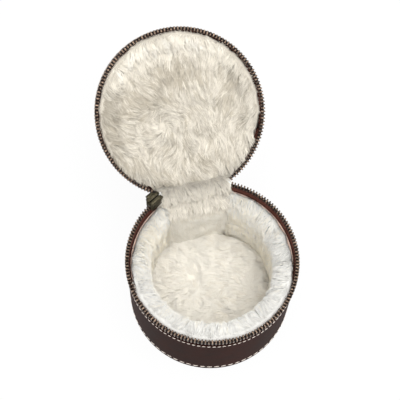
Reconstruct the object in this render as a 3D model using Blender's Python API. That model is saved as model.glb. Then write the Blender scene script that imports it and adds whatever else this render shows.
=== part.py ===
"""Round jewelry case with a zip round its rim, leather outside and fur inside, standing open.

The base is a drum with a flat back. The lid is a shallow drum on a leather hinge along that flat.
Origin: centre of the underside. +Z is up, +Y is the hinge side, +X is the right of a viewer in front.
"""
import math

import bmesh
import bpy
from mathutils import Matrix, Vector

MM = 0.001

# Main sizes
WALL_RADIUS = 59.0 * MM
BASE_HEIGHT = 69.5 * MM
LID_HEIGHT = 28.0 * MM
LID_OPEN = math.radians(146.0)

# Leather shell: a circle cut by a flat back, with rounded corners where they meet
RIM_FLARE = 1.0 * MM
FLAT_SETBACK = 6.0 * MM
CORNER_RADIUS = 8.0 * MM
LEATHER = 1.4 * MM
LEATHER_EDGE = 0.4 * MM
BAND_HEIGHT = 11.2 * MM
HINGE_LEATHER = 1.2 * MM
HINGE_MARGIN = 1.0 * MM
HINGE_LEG_MARGIN = 4.5 * MM
HINGE_BEND = 1.3 * MM

# Stiffening and padding
BOARD = 2.0 * MM
END_BOARD = 2.2 * MM
WALL_PADDING = 2.5 * MM
END_PADDING = 3.0 * MM

# Fur lining
FUR_DEPTH = 11.0 * MM
FUR_MOUTH = 18.5 * MM
LID_MOUTH_RISE = 2.0 * MM
FUR_SHOULDER_DROP = 4.3 * MM
FUR_OUTER_DROP = 7.0 * MM
FUR_COLLAR = 12.2 * MM
FUR_ROLL = 8.0 * MM
BASE_FLOOR_FUR = 3.5 * MM
LID_FLOOR_FUR = 7.5 * MM
LID_FLOOR_BANK = 4.5 * MM
LID_BANK_WIDTH = 16.0 * MM
BACK_FUR = 9.5 * MM
BACK_FUR_DROP = 8.4 * MM
FUR_EDGE = 2.0 * MM
FUR_CROWN = 0.8 * MM
HINGE_FUR = 6.0 * MM
HINGE_FUR_MARGIN = 1.3 * MM
LINING_EDGE = 1.1 * MM
LINING_EDGE_DROP = 8.3 * MM

# Zip: two rows of metal teeth on woven tape, meeting at the parting plane
TOOTH_DEPTH = 2.6 * MM
TOOTH_TIP_DEPTH = 2.0 * MM
TOOTH_HEIGHT = 3.0 * MM
TOOTH_WIDTH = 1.3 * MM
TOOTH_TIP_WIDTH = 0.9 * MM
TEETH_PER_TURN = 158
CORD_HEIGHT = 0.6 * MM
ROW_GAP = 0.6 * MM
TAPE = 0.6 * MM
TAPE_TUCK = 7.5 * MM
STOP_LENGTH = 1.1 * MM

# Slider and pull
SLIDER_LENGTH = 11.4 * MM
SLIDER_PLATE = 0.9 * MM
SLIDER_FLANGE = 0.9 * MM
SLIDER_CORNER = 1.6 * MM
WEB_LENGTH = 3.4 * MM
BAIL_WIRE = 1.2 * MM
BAIL_SPAN = 7.6 * MM
BAIL_STANDOFF = 2.3 * MM
PULL_LENGTH = 20.0 * MM
PULL_WIDTH = 6.4 * MM
PULL_THICKNESS = 1.2 * MM
PULL_RIM = 1.2 * MM
PULL_HOLE = 1.5 * MM

# Clearances
GAP = 0.3 * MM
ZIP_CLEARANCE = 0.3 * MM
EYE_CLEARANCE = 0.35 * MM
LID_ROW_CLEARANCE = 3.0 * MM
PARK_OVERLAP = 3.4 * MM

# Mesh fineness
ARC_STEPS = 38
CORNER_STEPS = 3
BEND_STEPS = 8
SHOULDER_STEPS = 5
BANK_STEPS = 4
ROUND_STEPS = 16

# Places worked out from the sizes
RIM_RADIUS = WALL_RADIUS + RIM_FLARE
FLAT_DISTANCE = WALL_RADIUS - FLAT_SETBACK
HINGE_LEG = LID_HEIGHT - HINGE_LEG_MARGIN
CORNER_Y = FLAT_DISTANCE - CORNER_RADIUS
FLAT_HALF = math.sqrt((WALL_RADIUS - CORNER_RADIUS) ** 2 - CORNER_Y**2)
HINGE_WIDTH = 2 * (FLAT_HALF - HINGE_MARGIN)
HINGE_FUR_WIDTH = 2 * (FLAT_HALF - HINGE_FUR_MARGIN)
HINGE_Y = FLAT_DISTANCE + GAP + HINGE_LEATHER / 2
HINGE_AXIS = Vector((0, HINGE_Y, BASE_HEIGHT))
ROW_RADIUS = RIM_RADIUS - TOOTH_DEPTH / 2
CORNER_ANGLE = math.atan2(CORNER_Y, FLAT_HALF)
ROW_START = math.pi - CORNER_ANGLE
ROW_END = 2 * math.pi + CORNER_ANGLE
LEATHER_TOP = BASE_HEIGHT - BAND_HEIGHT
ROW_BOTTOM = BASE_HEIGHT - ROW_GAP - TOOTH_HEIGHT - CORD_HEIGHT
TAPE_TOP = ROW_BOTTOM - GAP
TAPE_BOTTOM = LEATHER_TOP - TAPE_TUCK
BOARD_TOP = TAPE_BOTTOM - GAP
BOARD_INSET = LEATHER + GAP
LINING_INSET = BOARD_INSET + BOARD + GAP
LINING_RADIUS = WALL_RADIUS - LINING_INSET
FUR_RADIUS = LINING_RADIUS - FUR_DEPTH
PADDING_INSET = LINING_INSET + WALL_PADDING + GAP
BASE_FUR_FOOT = LEATHER + GAP + END_BOARD + GAP + END_PADDING + GAP
LID_TOP = BASE_HEIGHT + LID_HEIGHT
LID_FUR_FOOT = 2 * BASE_HEIGHT - (LID_TOP - BASE_FUR_FOOT)
FUR_COLLAR_FOOT = BASE_HEIGHT - FUR_COLLAR
BASE_MOUTH_FOOT = BASE_HEIGHT - FUR_MOUTH
LID_MOUTH_FOOT = LID_FUR_FOOT + LID_MOUTH_RISE
BACK_FUR_FACE = FLAT_DISTANCE - LINING_INSET - BACK_FUR
SLIDER_HALF_HEIGHT = BASE_HEIGHT - TAPE_TOP + SLIDER_FLANGE
SLIDER_SAGITTA = ROW_RADIUS - math.sqrt(ROW_RADIUS**2 - (SLIDER_LENGTH / 2) ** 2)
CHANNEL_INNER = ROW_RADIUS - TOOTH_DEPTH / 2 - ZIP_CLEARANCE - SLIDER_SAGITTA
CHANNEL_OUTER = RIM_RADIUS + ZIP_CLEARANCE
SLIDER_INNER = CHANNEL_INNER - SLIDER_PLATE
SLIDER_OUTER = CHANNEL_OUTER + SLIDER_PLATE
PARK_ANGLE = ROW_START + (SLIDER_LENGTH / 2 - PARK_OVERLAP) / ROW_RADIUS
BAIL_RADIUS = SLIDER_OUTER + BAIL_STANDOFF
LID_ROW_START = PARK_ANGLE + (SLIDER_LENGTH / 2 + LID_ROW_CLEARANCE) / ROW_RADIUS
TAPE_TAIL = (STOP_LENGTH + 2 * GAP) / ROW_RADIUS
TAPE_FOOT_INNER = WALL_RADIUS - LEATHER - GAP - TAPE
TAPE_LEAN = (ROW_RADIUS - TAPE / 2 - TAPE_FOOT_INNER) / (TAPE_TOP - LEATHER_TOP)


def clear_scene():
    for obj in list(bpy.data.objects):
        bpy.data.objects.remove(obj)


def material(name, colour, roughness, metallic=0.0):
    mat = bpy.data.materials.new(name)
    mat.use_nodes = True
    shader = mat.node_tree.nodes["Principled BSDF"]
    shader.inputs["Base Color"].default_value = (*colour, 1.0)
    shader.inputs["Roughness"].default_value = roughness
    shader.inputs["Metallic"].default_value = metallic
    return mat


def new_object(name, mesh, mat, collection):
    obj = bpy.data.objects.new(name, mesh)
    collection.objects.link(obj)
    if mat:
        obj.data.materials.append(mat)
    return obj


def finish_mesh(bm, name, mat, collection, lid=False):
    """Writes the mesh. A lid piece is drawn below the parting plane and mirrored over it."""
    if lid:
        mirror = Matrix.Translation((0, 0, 2 * BASE_HEIGHT)) @ Matrix.Scale(-1, 4, (0, 0, 1))
        bmesh.ops.transform(bm, matrix=mirror, verts=bm.verts)
    bmesh.ops.recalc_face_normals(bm, faces=bm.faces)
    mesh = bpy.data.meshes.new(name)
    bm.to_mesh(mesh)
    bm.free()
    mesh.shade_smooth()
    mesh.set_sharp_from_angle(angle=math.radians(35))
    return new_object(name, mesh, mat, collection)


def outline(inset, wall=WALL_RADIUS, flat=FLAT_DISTANCE):
    """The case's plan, drawn in by inset: round, with a flat back and rounded corners."""
    radius = wall - inset
    back = flat - inset
    corner = max(CORNER_RADIUS - inset, 1.0 * MM)
    centre_y = back - corner
    centre_x = math.sqrt((radius - corner) ** 2 - centre_y**2)
    join = math.atan2(centre_y, centre_x)
    start = math.pi - join
    sweep = math.pi + 2 * join
    points = []
    for i in range(ARC_STEPS + 1):
        a = start + sweep * i / ARC_STEPS
        points.append((radius * math.cos(a), radius * math.sin(a)))
    for i in range(1, CORNER_STEPS + 1):
        a = join + (math.pi / 2 - join) * i / CORNER_STEPS
        points.append((centre_x + corner * math.cos(a), centre_y + corner * math.sin(a)))
    for i in range(CORNER_STEPS):
        a = math.pi / 2 + (math.pi / 2 - join) * i / CORNER_STEPS
        points.append((-centre_x + corner * math.cos(a), centre_y + corner * math.sin(a)))
    return points


def add_loop(bm, points, z):
    return [bm.verts.new((x, y, z)) for x, y in points]


def bridge(bm, lower, upper):
    count = len(lower)
    for i in range(count):
        j = (i + 1) % count
        bm.faces.new((lower[i], lower[j], upper[j], upper[i]))


def wall_ring(name, thickness, bottom, top, edge, mat, collection, lid=False):
    """A wall that follows the plan, lofted round its section, with eased edges."""
    section = [
        (edge, bottom),
        (0, bottom + edge),
        (0, top - edge),
        (edge, top),
        (thickness - edge, top),
        (thickness, top - edge),
        (thickness, bottom + edge),
        (thickness - edge, bottom),
    ]
    bm = bmesh.new()
    loops = [add_loop(bm, outline(inset), z) for inset, z in section]
    for i, loop in enumerate(loops):
        bridge(bm, loop, loops[(i + 1) % len(loops)])
    return finish_mesh(bm, name, mat, collection, lid)


def plate(name, section, mat, collection, lid=False, wall=WALL_RADIUS, flat=FLAT_DISTANCE):
    """A disc with the case's plan. The section lists the inset and height of each level."""
    bm = bmesh.new()
    loops = [add_loop(bm, outline(inset, wall, flat), z) for inset, z in section]
    for lower, upper in zip(loops, loops[1:]):
        bridge(bm, lower, upper)
    bm.faces.new(list(reversed(loops[0])))
    bm.faces.new(loops[-1])
    return finish_mesh(bm, name, mat, collection, lid)


def flat_solid(name, outlines, thickness, mat, collection, placement):
    """A flat piece cut from sheet: a filled 2D curve with holes, given its thickness."""
    curve = bpy.data.curves.new(name, "CURVE")
    curve.dimensions = "2D"
    curve.fill_mode = "BOTH"
    curve.extrude = thickness / 2
    for points in outlines:
        spline = curve.splines.new("POLY")
        spline.points.add(len(points) - 1)
        for point, (x, y) in zip(spline.points, points):
            point.co = (x, y, 0, 1)
        spline.use_cyclic_u = True
    guide = bpy.data.objects.new(name + "_curve", curve)
    collection.objects.link(guide)
    bpy.context.view_layer.update()
    evaluated = guide.evaluated_get(bpy.context.evaluated_depsgraph_get())
    mesh = bpy.data.meshes.new_from_object(evaluated)
    bm = bmesh.new()
    bm.from_mesh(mesh)
    bpy.data.meshes.remove(mesh)
    bmesh.ops.remove_doubles(bm, verts=bm.verts, dist=0.001 * MM)
    bmesh.ops.transform(bm, matrix=placement, verts=bm.verts)
    bpy.data.objects.remove(guide)
    bpy.data.curves.remove(curve)
    return finish_mesh(bm, name, mat, collection)


def swept_ring(name, section, start, end, steps, mat, collection, lid=False):
    """A section of radius and height points, spun about the case's axis between two angles."""
    bm = bmesh.new()
    verts = [bm.verts.new((r * math.cos(start), r * math.sin(start), z)) for r, z in section]
    face = bm.faces.new(verts)
    bmesh.ops.spin(
        bm,
        geom=[face, *face.edges, *face.verts],
        cent=(0, 0, 0),
        axis=(0, 0, 1),
        angle=end - start,
        steps=steps,
        use_duplicate=False,
    )
    return finish_mesh(bm, name, mat, collection, lid)


def tooth_row(name, start, end, mat, collection, lid=False):
    """One row of zip teeth on its cord, as one body: each tooth rises from the cord's top."""
    pitch = 2 * math.pi / TEETH_PER_TURN
    count = int((end - start) / pitch)
    half_foot = TOOTH_WIDTH / 2 / ROW_RADIUS
    half_tip = TOOTH_TIP_WIDTH / 2 / ROW_RADIUS
    foot_z = ROW_BOTTOM + CORD_HEIGHT
    tip_z = foot_z + TOOTH_HEIGHT
    inner = ROW_RADIUS - TOOTH_DEPTH / 2
    outer = ROW_RADIUS + TOOTH_DEPTH / 2
    tip_inner = ROW_RADIUS - TOOTH_TIP_DEPTH / 2
    tip_outer = ROW_RADIUS + TOOTH_TIP_DEPTH / 2
    bm = bmesh.new()

    def point(radius, angle, z):
        return bm.verts.new((radius * math.cos(angle), radius * math.sin(angle), z))

    def section(angle):
        corners = ((inner, ROW_BOTTOM), (outer, ROW_BOTTOM), (outer, foot_z), (inner, foot_z))
        return [point(r, angle, z) for r, z in corners]

    first = end - count * pitch
    sections = []
    for i in range(count):
        middle = first + (i + 0.5) * pitch
        sections.append((section(middle - half_foot), section(middle + half_foot), middle))
    previous = None
    for near, far, middle in sections:
        if previous:
            bridge(bm, previous, near)
        for a, b in ((0, 1), (1, 2), (3, 0)):
            bm.faces.new((near[a], near[b], far[b], far[a]))
        tip = [
            point(tip_outer, middle - half_tip, tip_z),
            point(tip_inner, middle - half_tip, tip_z),
            point(tip_inner, middle + half_tip, tip_z),
            point(tip_outer, middle + half_tip, tip_z),
        ]
        foot = [near[2], near[3], far[3], far[2]]
        bridge(bm, foot, tip)
        bm.faces.new(tip)
        previous = far
    bm.faces.new(sections[0][0])
    bm.faces.new(sections[-1][1])
    return finish_mesh(bm, name, mat, collection, lid)


def fur_wall_section(foot, outer_inset, mouth):
    """The fur wall: upright inside, rolled over its shoulder, with a collar over its backing."""
    outer = WALL_RADIUS - outer_inset
    crest = BASE_HEIGHT - FUR_SHOULDER_DROP
    section = [(FUR_RADIUS, foot), (outer, foot)]
    if outer < LINING_RADIUS:
        section += [(outer, FUR_COLLAR_FOOT), (LINING_RADIUS, FUR_COLLAR_FOOT)]
    section.append((LINING_RADIUS, BASE_HEIGHT - FUR_OUTER_DROP))
    section.append((LINING_RADIUS - FUR_EDGE / 2, crest - FUR_EDGE / 3))
    for i in range(SHOULDER_STEPS, -1, -1):
        a = math.pi / 2 * i / SHOULDER_STEPS
        radius = FUR_RADIUS + FUR_ROLL * (1 - math.cos(a))
        section.append((radius, mouth + (crest - mouth) * math.sin(a)))
    return section


def crowned_floor(foot, depth):
    """The base's floor: a flat pad, rounded off where it meets the wall."""
    top = foot + depth
    return [(0, foot), (0, top - FUR_EDGE), (FUR_EDGE / 2, top - FUR_CROWN), (FUR_EDGE * 3, top)]


def banked_floor(foot, depth):
    """The lid's floor: its pile climbs the wall round it, so the middle lies in a shallow dish."""
    section = [(0, foot)]
    for i in range(BANK_STEPS + 1):
        a = math.pi / 2 * i / BANK_STEPS
        rise = LID_FLOOR_BANK * (1 - math.sin(a))
        section.append((LID_BANK_WIDTH * (1 - math.cos(a)), foot + depth + rise))
    return section


def back_panel(name, foot, mat, collection, lid=False):
    """The flat fur panel at the back, between the two upright creases."""
    side = math.pi / 2 - CORNER_ANGLE - GAP / FUR_RADIUS
    half_width = BACK_FUR_FACE * math.tan(side)
    back = [
        (x, y)
        for x, y in outline(LINING_INSET)
        if y > 0 and abs(x) < (y - 0.01 * MM) * math.tan(side)
    ]
    right = [p for p in back if p[0] > 0]
    left = [p for p in back if p[0] <= 0]
    points = [(half_width, BACK_FUR_FACE)] + right + left + [(-half_width, BACK_FUR_FACE)]
    top = BASE_HEIGHT - BACK_FUR_DROP
    bm = bmesh.new()
    lower = add_loop(bm, points, foot)
    upper = add_loop(bm, points, top)
    bridge(bm, lower, upper)
    bm.faces.new(list(reversed(lower)))
    cap = bm.faces.new(upper)
    brow = [e for e in cap.edges if all(abs(v.co.y - BACK_FUR_FACE) < 0.01 * MM for v in e.verts)]
    bmesh.ops.bevel(bm, geom=brow, offset=FUR_EDGE, segments=3, affect="EDGES", profile=0.5)
    return finish_mesh(bm, name, mat, collection, lid)


def hinge_path(offset, leg_start, leg_end):
    """The strip's side view with the lid open: up the base, round the fold, down the lid."""
    turn = LID_OPEN
    tangent = HINGE_BEND * math.tan(turn / 2)
    centre_y = HINGE_Y + HINGE_BEND
    centre_z = BASE_HEIGHT - tangent
    radius = HINGE_BEND + offset
    points = [(HINGE_Y - offset, leg_start)]
    for i in range(BEND_STEPS + 1):
        a = turn * i / BEND_STEPS
        points.append((centre_y - radius * math.cos(a), centre_z + radius * math.sin(a)))
    lid_leg = Vector((-offset, leg_end - BASE_HEIGHT))
    c, s = math.cos(-LID_OPEN), math.sin(-LID_OPEN)
    end_y = HINGE_Y + lid_leg.x * c - lid_leg.y * s
    end_z = BASE_HEIGHT + lid_leg.x * s + lid_leg.y * c
    points.append((end_y, end_z))
    return points


def hinge_strip(name, near, far, leg, width, mat, collection):
    """A strip across the hinge, between two offsets from the fold line, cut to its width."""
    start = BASE_HEIGHT - leg
    end = BASE_HEIGHT + leg
    side_view = hinge_path(near, start, end) + list(reversed(hinge_path(far, start, end)))
    axes = Matrix(((0, 0, 1, 0), (1, 0, 0, 0), (0, 1, 0, 0), (0, 0, 0, 1)))
    return flat_solid(name, [side_view], width, mat, collection, axes)


def box_object(name, low, high, collection):
    size = [b - a for a, b in zip(low, high)]
    centre = [(a + b) / 2 for a, b in zip(low, high)]
    bm = bmesh.new()
    bmesh.ops.create_cube(bm, size=1.0)
    bmesh.ops.scale(bm, vec=size, verts=bm.verts)
    bmesh.ops.translate(bm, vec=centre, verts=bm.verts)
    mesh = bpy.data.meshes.new(name)
    bm.to_mesh(mesh)
    bm.free()
    return new_object(name, mesh, None, collection)


def cylinder_object(name, radius, length, centre, steps, collection):
    """A cylinder along X, as a cutter or as a piece to be joined."""
    bm = bmesh.new()
    bmesh.ops.create_cone(
        bm, cap_ends=True, segments=steps, radius1=radius, radius2=radius, depth=length
    )
    bmesh.ops.rotate(bm, matrix=Matrix.Rotation(math.pi / 2, 3, "Y"), verts=bm.verts)
    bmesh.ops.translate(bm, vec=centre, verts=bm.verts)
    mesh = bpy.data.meshes.new(name)
    bm.to_mesh(mesh)
    bm.free()
    return new_object(name, mesh, None, collection)


def wire_object(name, points, radius, collection):
    """A bent wire with closed ends, made a mesh so that it can be joined."""
    curve = bpy.data.curves.new(name, "CURVE")
    curve.dimensions = "3D"
    curve.bevel_depth = radius
    curve.bevel_resolution = 2
    curve.use_fill_caps = True
    spline = curve.splines.new("POLY")
    spline.points.add(len(points) - 1)
    for point, place in zip(spline.points, points):
        point.co = (*place, 1)
    guide = bpy.data.objects.new(name + "_curve", curve)
    collection.objects.link(guide)
    bpy.context.view_layer.update()
    evaluated = guide.evaluated_get(bpy.context.evaluated_depsgraph_get())
    mesh = bpy.data.meshes.new_from_object(evaluated)
    bm = bmesh.new()
    bm.from_mesh(mesh)
    bpy.data.meshes.remove(mesh)
    bmesh.ops.remove_doubles(bm, verts=bm.verts, dist=0.001 * MM)
    bpy.data.objects.remove(guide)
    bpy.data.curves.remove(curve)
    return finish_mesh(bm, name, None, collection)


def combine(obj, operand, operation):
    """Cuts the operand from the object, or joins it on, and hides the operand."""
    modifier = obj.modifiers.new(operand.name, "BOOLEAN")
    modifier.operation = operation
    modifier.solver = "EXACT"
    modifier.object = operand
    operand.hide_render = True
    operand.display_type = "WIRE"


def arc(centre, radius, start, end, steps):
    """Points along an arc of a flat outline."""
    points = []
    for i in range(steps + 1):
        a = start + (end - start) * i / steps
        points.append((centre[0] + radius * math.cos(a), centre[1] + radius * math.sin(a)))
    return points


def tape_section():
    """The tape's section: tucked upright behind the leather, then leaning out to the teeth."""
    foot = TAPE_FOOT_INNER
    head = ROW_RADIUS - TAPE / 2
    return [
        (foot, TAPE_BOTTOM),
        (foot + TAPE, TAPE_BOTTOM),
        (foot + TAPE, LEATHER_TOP),
        (head + TAPE, TAPE_TOP),
        (head, TAPE_TOP),
        (foot, LEATHER_TOP),
    ]


def lining_edge_section():
    """The turned edge of the lining, sewn against the inside of the tape."""
    top = BASE_HEIGHT - LINING_EDGE_DROP
    foot = TAPE_FOOT_INNER - GAP
    head = foot + TAPE_LEAN * (top - LEATHER_TOP)
    inner_top = max(head - LINING_EDGE, LINING_RADIUS + GAP)
    return [
        (LINING_RADIUS + GAP, BOARD_TOP + GAP),
        (foot, BOARD_TOP + GAP),
        (foot, LEATHER_TOP),
        (head, top),
        (inner_top, top),
        (LINING_RADIUS + GAP, LEATHER_TOP),
    ]


def shell(case, colours):
    """Leather and board: the shell of the base and of the lid."""
    leather, board = colours["leather"], colours["board"]
    for side, end, depth in (("base", "bottom", BASE_HEIGHT), ("lid", "top", LID_HEIGHT)):
        lid = side == "lid"
        foot = BASE_HEIGHT - depth
        wall_foot = foot + LEATHER + GAP
        board_top = wall_foot + END_BOARD
        end_section = [(LEATHER_EDGE, foot), (0, foot + LEATHER_EDGE), (0, foot + LEATHER)]
        board_section = [(BOARD_INSET, wall_foot), (BOARD_INSET, board_top)]
        plate(f"{side}_{end}_leather", end_section, leather, case, lid)
        plate(f"{side}_{end}_board", board_section, board, case, lid)
        name = f"{side}_wall_leather"
        wall_ring(name, LEATHER, wall_foot, LEATHER_TOP, LEATHER_EDGE, leather, case, lid)
        height = BOARD_TOP - board_top - GAP
        middle = board_top + GAP + height / 2
        if lid:
            middle = 2 * BASE_HEIGHT - middle
        loops = [outline(BOARD_INSET), outline(BOARD_INSET + BOARD)]
        place = Matrix.Translation((0, 0, middle))
        flat_solid(f"{side}_wall_board", loops, height, board, case, place)


def lining(case, colours):
    """Padding and fur of the base and of the lid."""
    fur, padding, edge = colours["fur"], colours["padding"], colours["edge"]
    edges = lining_edge_section()
    for side, end, foot, depth in (
        ("base", "bottom", BASE_FUR_FOOT, BASE_FLOOR_FUR),
        ("lid", "top", LID_FUR_FOOT, LID_FLOOR_FUR),
    ):
        lid = side == "lid"
        pad_section = [(LINING_INSET, foot - GAP - END_PADDING), (LINING_INSET, foot - GAP)]
        plate(f"{side}_{end}_padding", pad_section, padding, case, lid)
        backing = LINING_INSET if lid else PADDING_INSET
        section = fur_wall_section(foot, backing, LID_MOUTH_FOOT if lid else BASE_MOUTH_FOOT)
        swept_ring(f"{side}_wall_fur", section, ROW_START, ROW_END, ARC_STEPS, fur, case, lid)
        floor_section = banked_floor(foot, depth) if lid else crowned_floor(foot, depth)
        floor_radius = FUR_RADIUS - GAP
        floor_back = BACK_FUR_FACE - GAP
        plate(f"{side}_floor_fur", floor_section, fur, case, lid, floor_radius, floor_back)
        back_panel(f"{side}_back_fur", foot, fur, case, lid)
        swept_ring(f"{side}_lining_edge", edges, ROW_START, ROW_END, ARC_STEPS, edge, case, lid)
    pad_top = FUR_COLLAR_FOOT - GAP
    pad_inner = WALL_RADIUS - PADDING_INSET + GAP
    pad_section = [
        (pad_inner, BASE_FUR_FOOT),
        (LINING_RADIUS, BASE_FUR_FOOT),
        (LINING_RADIUS, pad_top),
        (pad_inner, pad_top),
    ]
    swept_ring("base_wall_padding", pad_section, ROW_START, ROW_END, ARC_STEPS, padding, case)


def zip_stop(name, start, end, mat, collection, lid=False):
    """A small block clamped on the tape at the end of a row."""
    inner = ROW_RADIUS - TOOTH_DEPTH / 2
    outer = ROW_RADIUS + TOOTH_DEPTH / 2
    top = ROW_BOTTOM + CORD_HEIGHT + TOOTH_HEIGHT
    section = [(inner, ROW_BOTTOM), (outer, ROW_BOTTOM), (outer, top), (inner, top)]
    swept_ring(name, section, start, end, 1, mat, collection, lid)


def zip_rows(case, colours):
    """The zip's two tapes, tooth rows and end stops. The lid's row starts past the parked slider."""
    tape, brass = colours["tape"], colours["brass"]
    half_pitch = math.pi / TEETH_PER_TURN
    space = GAP / ROW_RADIUS
    stop = STOP_LENGTH / ROW_RADIUS
    tape_end = ROW_END + TAPE_TAIL
    rows = (
        ("base", ROW_START - TAPE_TAIL, ROW_START, ROW_END),
        ("lid", LID_ROW_START, LID_ROW_START, ROW_END - half_pitch),
    )
    for side, tape_start, start, end in rows:
        lid = side == "lid"
        section = tape_section()
        swept_ring(f"{side}_zip_tape", section, tape_start, tape_end, ARC_STEPS, tape, case, lid)
        tooth_row(f"{side}_zip_teeth", start, end, brass, case, lid)
        name = f"{side}_zip_stop_right"
        zip_stop(name, ROW_END + space, ROW_END + space + stop, brass, case, lid)
    zip_stop("base_zip_stop_left", ROW_START - space - stop, ROW_START - space, brass, case)


def hinge(case, colours):
    """The leather hinge strip outside and the fur strip inside, drawn with the lid open."""
    half = HINGE_LEATHER / 2
    hinge_strip("hinge_leather", -half, half, HINGE_LEG, HINGE_WIDTH, colours["leather"], case)
    near = half + GAP
    leg = BACK_FUR_DROP - GAP
    hinge_strip("hinge_fur", near, near + HINGE_FUR, leg, HINGE_FUR_WIDTH, colours["fur"], case)


def slider_body(case, cutters, colours):
    """Two plates joined by a web at the front, with flanges round the tapes and a bail outside.

    Drawn about the case's axis: X is the closing direction, -Y is outward, Z is up.
    """
    half = SLIDER_LENGTH / 2
    tall = SLIDER_HALF_HEIGHT
    body = box_object(
        "slider_body", (-half, -SLIDER_OUTER, -tall), (half, -SLIDER_INNER, tall), case
    )
    body.data.materials.append(colours["brass"])
    bm = bmesh.new()
    bm.from_mesh(body.data)
    corners = [e for e in bm.edges if abs(e.verts[0].co.y - e.verts[1].co.y) > half / 10]
    bmesh.ops.bevel(bm, geom=corners, offset=SLIDER_CORNER, segments=3, affect="EDGES", profile=0.5)
    bm.to_mesh(body.data)
    bm.free()
    past = half + SLIDER_PLATE
    lip = tall - SLIDER_FLANGE
    tape_inner = TAPE_FOOT_INNER + TAPE_LEAN * (TAPE_TOP - SLIDER_FLANGE - LEATHER_TOP)
    slot_inner = tape_inner - ZIP_CLEARANCE - SLIDER_SAGITTA
    slot_outer = ROW_RADIUS + TAPE / 2 + ZIP_CLEARANCE
    channel = box_object(
        "slider_channel", (-past, -CHANNEL_OUTER, -lip), (past, -CHANNEL_INNER, lip), cutters
    )
    slot = box_object(
        "slider_slot", (-past, -slot_outer, -tall - GAP), (past, -slot_inner, tall + GAP), cutters
    )
    web_half = ROW_GAP - ZIP_CLEARANCE
    sunk = SLIDER_PLATE / 3
    web = box_object(
        "slider_web",
        (half - WEB_LENGTH, -CHANNEL_OUTER - sunk, -web_half),
        (half - sunk, -CHANNEL_INNER + sunk, web_half),
        cutters,
    )
    reach = BAIL_SPAN / 2
    bend = BAIL_WIRE
    bail_points = [
        (-reach, -SLIDER_OUTER + sunk, 0),
        (-reach, -BAIL_RADIUS + bend, 0),
        (-reach + bend / 4, -BAIL_RADIUS + bend / 4, 0),
        (-reach + bend, -BAIL_RADIUS, 0),
        (reach - bend, -BAIL_RADIUS, 0),
        (reach - bend / 4, -BAIL_RADIUS + bend / 4, 0),
        (reach, -BAIL_RADIUS + bend, 0),
        (reach, -SLIDER_OUTER + sunk, 0),
    ]
    bail = wire_object("slider_bail", bail_points, BAIL_WIRE / 2, cutters)
    combine(body, channel, "DIFFERENCE")
    combine(body, slot, "DIFFERENCE")
    combine(body, web, "UNION")
    combine(body, bail, "UNION")
    return [body, channel, slot, web, bail]


def pull_tab(case, cutters, colours):
    """The pull: a rounded tab whose top is curled round the bail's wire. Origin on the wire."""
    eye = BAIL_WIRE / 2 + EYE_CLEARANCE
    knuckle = eye + PULL_RIM
    knuckle_width = BAIL_SPAN - 2 * BAIL_WIRE
    neck = knuckle_width / 2
    half = PULL_WIDTH / 2
    tip = -PULL_LENGTH + half
    root = -eye - PULL_RIM / 2
    shoulder = -knuckle - half
    edge = [(neck, root), (neck, -knuckle), (half, shoulder)]
    edge += arc((0, tip), half, 0, -math.pi, ROUND_STEPS // 2)
    edge += [(-half, shoulder), (-neck, -knuckle), (-neck, root)]
    hole = arc((0, tip), PULL_HOLE, 0, 2 * math.pi, ROUND_STEPS)[:-1]
    upright = Matrix(((1, 0, 0, 0), (0, 0, -1, 0), (0, 1, 0, 0), (0, 0, 0, 1)))
    brass = colours["brass"]
    tab = flat_solid("pull_tab", [edge, hole], PULL_THICKNESS, brass, case, upright)
    curl = cylinder_object("pull_curl", knuckle, knuckle_width, (0, 0, 0), ROUND_STEPS, cutters)
    bore = cylinder_object("pull_bore", eye, PULL_WIDTH * 2, (0, 0, 0), ROUND_STEPS, cutters)
    combine(tab, curl, "UNION")
    combine(tab, bore, "DIFFERENCE")
    return [tab, curl, bore]


def empty(name, location, rotation, collection, parent=None):
    obj = bpy.data.objects.new(name, None)
    obj.location = location
    obj.rotation_euler = rotation
    obj.parent = parent
    collection.objects.link(obj)
    return obj


def srgb(code):
    """A colour written as sRGB hex, turned to linear values."""
    channels = [int(code[i:i + 2], 16) / 255 for i in (0, 2, 4)]
    return [c / 12.92 if c <= 0.04045 else ((c + 0.055) / 1.055) ** 2.4 for c in channels]


def main():
    clear_scene()
    case = bpy.data.collections.new("jewelry_case")
    cutters = bpy.data.collections.new("jewelry_case_cutters")
    bpy.context.scene.collection.children.link(case)
    bpy.context.scene.collection.children.link(cutters)
    colours = {
        "leather": material("brown_leather", srgb("3F2E2B"), 0.5),
        "board": material("grey_board", srgb("8A7B68"), 0.9),
        "padding": material("sponge_padding", srgb("E8E2D2"), 0.95),
        "fur": material("cream_fur", srgb("EDE9DF"), 0.95),
        "edge": material("lining_edge", srgb("F3DCCF"), 0.9),
        "tape": material("zip_tape", srgb("734132"), 0.85),
        "brass": material("antique_brass", srgb("5A5040"), 0.4, 0.9),
    }
    shell(case, colours)
    lining(case, colours)
    zip_rows(case, colours)
    hinge(case, colours)
    lid_hinge = empty("lid_hinge", HINGE_AXIS, (-LID_OPEN, 0, 0), case)
    for obj in list(case.objects):
        if obj.name.startswith("lid_") and obj.type == "MESH":
            obj.parent = lid_hinge
            obj.matrix_parent_inverse = Matrix.Translation(-HINGE_AXIS)
    turn = PARK_ANGLE + math.pi / 2
    slider_track = empty("slider_track", (0, 0, BASE_HEIGHT), (0, 0, turn), case)
    for obj in slider_body(case, cutters, colours):
        obj.parent = slider_track
    pull_pivot = empty("pull_pivot", (0, -BAIL_RADIUS, 0), (0, 0, 0), case, slider_track)
    for obj in pull_tab(case, cutters, colours):
        obj.parent = pull_pivot
    bpy.context.view_layer.update()


main()
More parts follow.
